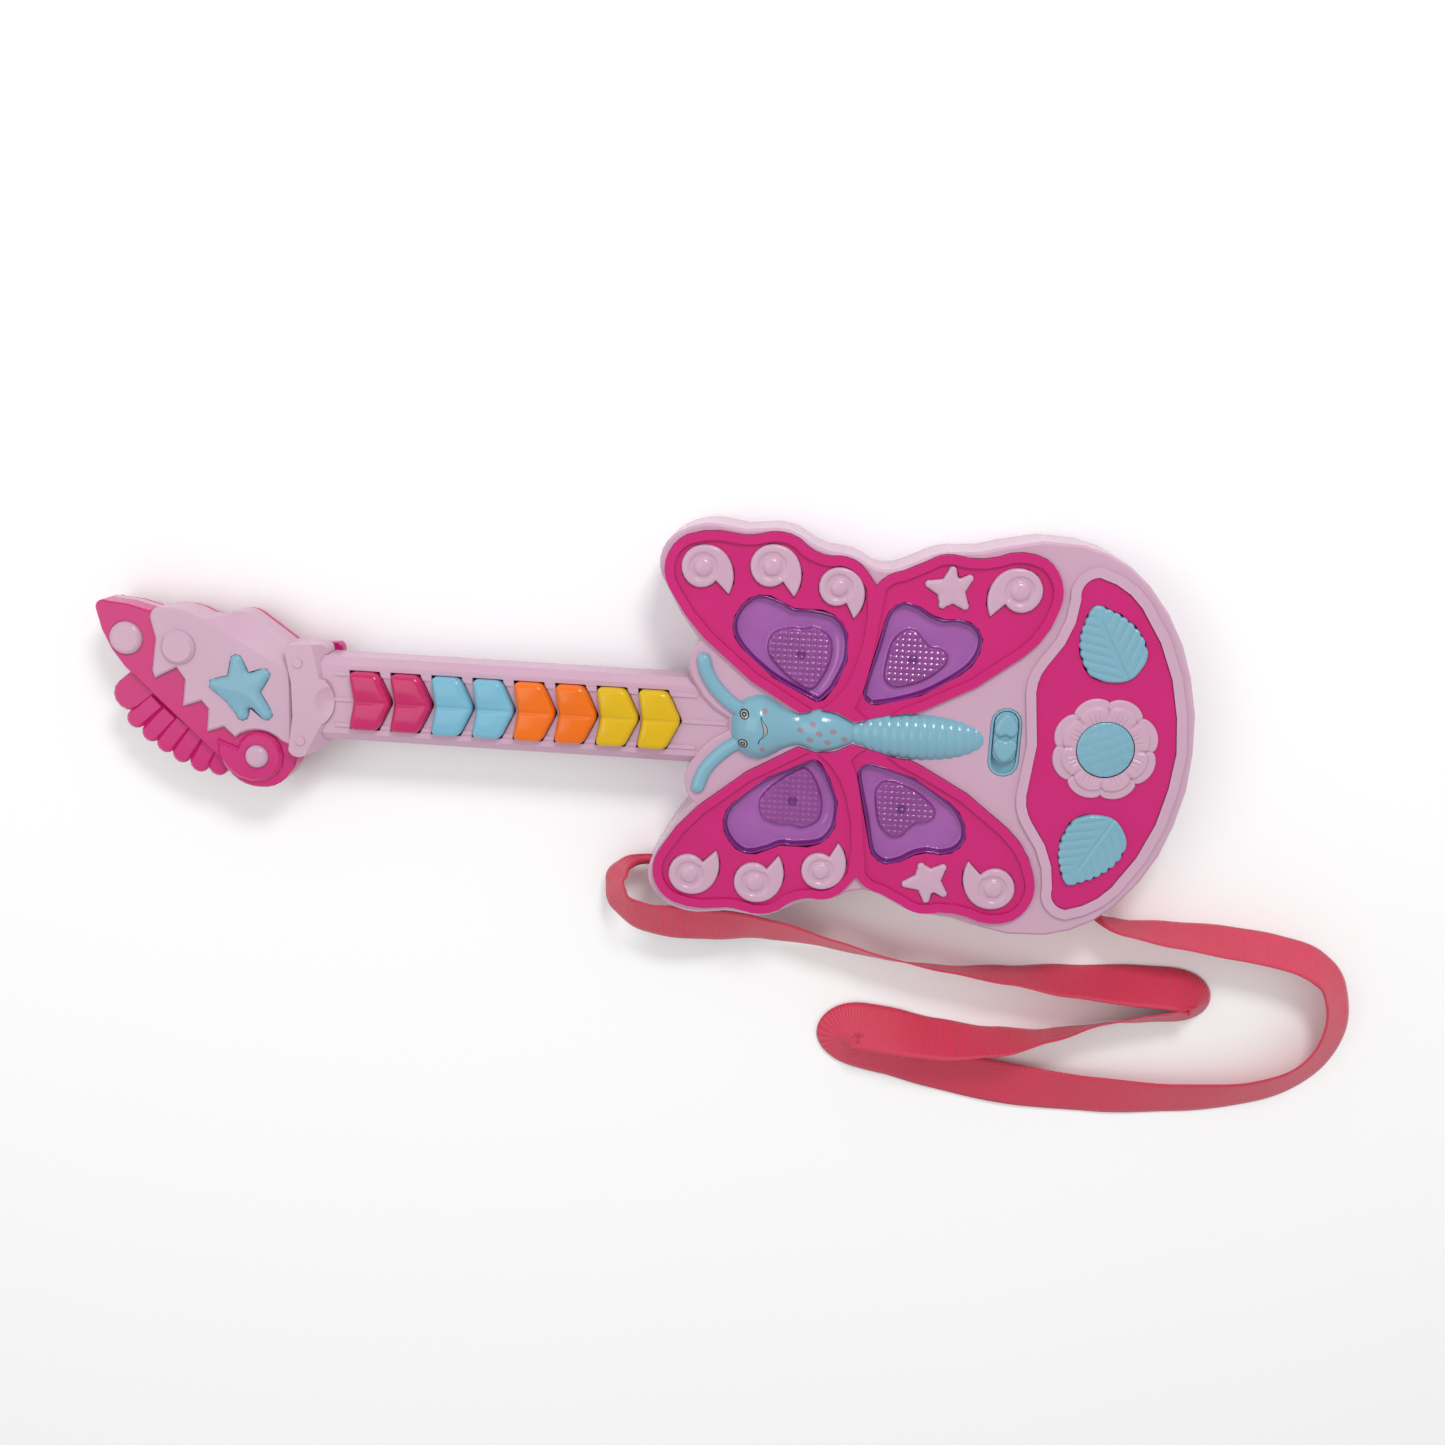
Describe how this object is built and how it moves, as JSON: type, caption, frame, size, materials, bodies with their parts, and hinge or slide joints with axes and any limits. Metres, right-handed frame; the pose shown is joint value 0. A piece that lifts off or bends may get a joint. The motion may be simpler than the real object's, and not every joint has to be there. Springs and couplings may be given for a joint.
{
  "type": "toy electric guitar",
  "caption": "Child's electronic toy guitar with a butterfly-shaped body, press keys along the neck and wings, light-up lenses, a slide switch and a ribbon shoulder strap.",
  "frame": {"origin": "on the flat back that the guitar lies on, under the middle of the body", "axes": "+X along the neck from the headstock to the tail of the body, +Y across the body, +Z out of the face"},
  "size_m": [0.6282, 0.2878, 0.0456],
  "materials": {
    "pale_pink": "glossy moulded ABS",
    "magenta": "glossy moulded ABS",
    "sky_blue": "glossy moulded ABS",
    "orange": "glossy moulded ABS",
    "yellow": "glossy moulded ABS",
    "purple_lens": "tinted translucent styrene",
    "circuit_board": "solder-masked laminate",
    "rubber_pads": "moulded silicone",
    "lamp_lens": "clear lamp",
    "cell_case": "satin",
    "contact_plate": "nickel plated",
    "speaker_frame": "satin black",
    "coral_ribbon": "woven grosgrain"
  },
  "bodies": {
    "guitar": {"front_shell": "pale_pink", "rear_shell": "pale_pink", "battery_door": "pale_pink", "neck_front": "pale_pink", "neck_rear": "pale_pink", "nut_collar": "pale_pink", "head_front": "pale_pink", "head_studs": "pale_pink", "flower_petals": "pale_pink", "head_core": "magenta", "head_rear": "magenta", "wing_panel_upper": "magenta", "wing_panel_lower": "magenta", "tail_panel": "magenta", "head_star": "sky_blue", "butterfly_body": "sky_blue", "butterfly_feelers": "sky_blue", "switch_well": "sky_blue", "main_board": "circuit_board", "neck_board": "circuit_board", "body_contact_pads": "rubber_pads", "neck_contact_pads": "rubber_pads", "lamps": "lamp_lens", "batteries": "cell_case", "battery_contacts": "contact_plate", "speaker": "speaker_frame", "strap": "coral_ribbon", "fore_lens_upper": "purple_lens", "fore_lens_lower": "purple_lens", "tail_lens_upper": "purple_lens", "tail_lens_lower": "purple_lens"},
    "neck_key_1": {"neck_key_1": "magenta"},
    "neck_key_2": {"neck_key_2": "magenta"},
    "neck_key_3": {"neck_key_3": "sky_blue"},
    "neck_key_4": {"neck_key_4": "sky_blue"},
    "neck_key_5": {"neck_key_5": "orange"},
    "neck_key_6": {"neck_key_6": "orange"},
    "neck_key_7": {"neck_key_7": "yellow"},
    "neck_key_8": {"neck_key_8": "yellow"},
    "snail_key_upper_1": {"snail_key_upper_1": "pale_pink"},
    "snail_key_upper_2": {"snail_key_upper_2": "pale_pink"},
    "snail_key_upper_3": {"snail_key_upper_3": "pale_pink"},
    "snail_key_upper_4": {"snail_key_upper_4": "pale_pink"},
    "snail_key_lower_1": {"snail_key_lower_1": "pale_pink"},
    "snail_key_lower_2": {"snail_key_lower_2": "pale_pink"},
    "snail_key_lower_3": {"snail_key_lower_3": "pale_pink"},
    "snail_key_lower_4": {"snail_key_lower_4": "pale_pink"},
    "star_key_upper": {"star_key_upper": "pale_pink"},
    "star_key_lower": {"star_key_lower": "pale_pink"},
    "leaf_button_upper": {"leaf_button_upper": "sky_blue"},
    "leaf_button_lower": {"leaf_button_lower": "sky_blue"},
    "flower_button": {"flower_button": "sky_blue"},
    "switch_knob": {"switch_knob": "sky_blue"}
  },
  "joints": [
    {"name": "neck_key_1_press", "type": "slide", "parent": "guitar", "child": "neck_key_1", "axis": [0, 0, -1], "range_m": [0, 0.0018], "stiffness_N_per_m": 300, "springref_m": -0.002},
    {"name": "neck_key_2_press", "type": "slide", "parent": "guitar", "child": "neck_key_2", "axis": [0, 0, -1], "range_m": [0, 0.0018], "stiffness_N_per_m": 300, "springref_m": -0.002},
    {"name": "neck_key_3_press", "type": "slide", "parent": "guitar", "child": "neck_key_3", "axis": [0, 0, -1], "range_m": [0, 0.0018], "stiffness_N_per_m": 300, "springref_m": -0.002},
    {"name": "neck_key_4_press", "type": "slide", "parent": "guitar", "child": "neck_key_4", "axis": [0, 0, -1], "range_m": [0, 0.0018], "stiffness_N_per_m": 300, "springref_m": -0.002},
    {"name": "neck_key_5_press", "type": "slide", "parent": "guitar", "child": "neck_key_5", "axis": [0, 0, -1], "range_m": [0, 0.0018], "stiffness_N_per_m": 300, "springref_m": -0.002},
    {"name": "neck_key_6_press", "type": "slide", "parent": "guitar", "child": "neck_key_6", "axis": [0, 0, -1], "range_m": [0, 0.0018], "stiffness_N_per_m": 300, "springref_m": -0.002},
    {"name": "neck_key_7_press", "type": "slide", "parent": "guitar", "child": "neck_key_7", "axis": [0, 0, -1], "range_m": [0, 0.0018], "stiffness_N_per_m": 300, "springref_m": -0.002},
    {"name": "neck_key_8_press", "type": "slide", "parent": "guitar", "child": "neck_key_8", "axis": [0, 0, -1], "range_m": [0, 0.0018], "stiffness_N_per_m": 300, "springref_m": -0.002},
    {"name": "snail_key_upper_1_press", "type": "slide", "parent": "guitar", "child": "snail_key_upper_1", "axis": [0, 0, -1], "range_m": [0, 0.0018], "stiffness_N_per_m": 300, "springref_m": -0.002},
    {"name": "snail_key_upper_2_press", "type": "slide", "parent": "guitar", "child": "snail_key_upper_2", "axis": [0, 0, -1], "range_m": [0, 0.0018], "stiffness_N_per_m": 300, "springref_m": -0.002},
    {"name": "snail_key_upper_3_press", "type": "slide", "parent": "guitar", "child": "snail_key_upper_3", "axis": [0, 0, -1], "range_m": [0, 0.0018], "stiffness_N_per_m": 300, "springref_m": -0.002},
    {"name": "snail_key_upper_4_press", "type": "slide", "parent": "guitar", "child": "snail_key_upper_4", "axis": [0, 0, -1], "range_m": [0, 0.0018], "stiffness_N_per_m": 300, "springref_m": -0.002},
    {"name": "snail_key_lower_1_press", "type": "slide", "parent": "guitar", "child": "snail_key_lower_1", "axis": [0, 0, -1], "range_m": [0, 0.0018], "stiffness_N_per_m": 300, "springref_m": -0.002},
    {"name": "snail_key_lower_2_press", "type": "slide", "parent": "guitar", "child": "snail_key_lower_2", "axis": [0, 0, -1], "range_m": [0, 0.0018], "stiffness_N_per_m": 300, "springref_m": -0.002},
    {"name": "snail_key_lower_3_press", "type": "slide", "parent": "guitar", "child": "snail_key_lower_3", "axis": [0, 0, -1], "range_m": [0, 0.0018], "stiffness_N_per_m": 300, "springref_m": -0.002},
    {"name": "snail_key_lower_4_press", "type": "slide", "parent": "guitar", "child": "snail_key_lower_4", "axis": [0, 0, -1], "range_m": [0, 0.0018], "stiffness_N_per_m": 300, "springref_m": -0.002},
    {"name": "star_key_upper_press", "type": "slide", "parent": "guitar", "child": "star_key_upper", "axis": [0, 0, -1], "range_m": [0, 0.0018], "stiffness_N_per_m": 300, "springref_m": -0.002},
    {"name": "star_key_lower_press", "type": "slide", "parent": "guitar", "child": "star_key_lower", "axis": [0, 0, -1], "range_m": [0, 0.0018], "stiffness_N_per_m": 300, "springref_m": -0.002},
    {"name": "leaf_button_upper_press", "type": "slide", "parent": "guitar", "child": "leaf_button_upper", "axis": [0, 0, -1], "range_m": [0, 0.0018], "stiffness_N_per_m": 300, "springref_m": -0.002},
    {"name": "leaf_button_lower_press", "type": "slide", "parent": "guitar", "child": "leaf_button_lower", "axis": [0, 0, -1], "range_m": [0, 0.0018], "stiffness_N_per_m": 300, "springref_m": -0.002},
    {"name": "flower_button_press", "type": "slide", "parent": "guitar", "child": "flower_button", "axis": [0, 0, -1], "range_m": [0, 0.0018], "stiffness_N_per_m": 300, "springref_m": -0.002},
    {"name": "switch_slide", "type": "slide", "parent": "guitar", "child": "switch_knob", "axis": [0, -1, 0], "range_m": [0, 0.005]}
  ]
}
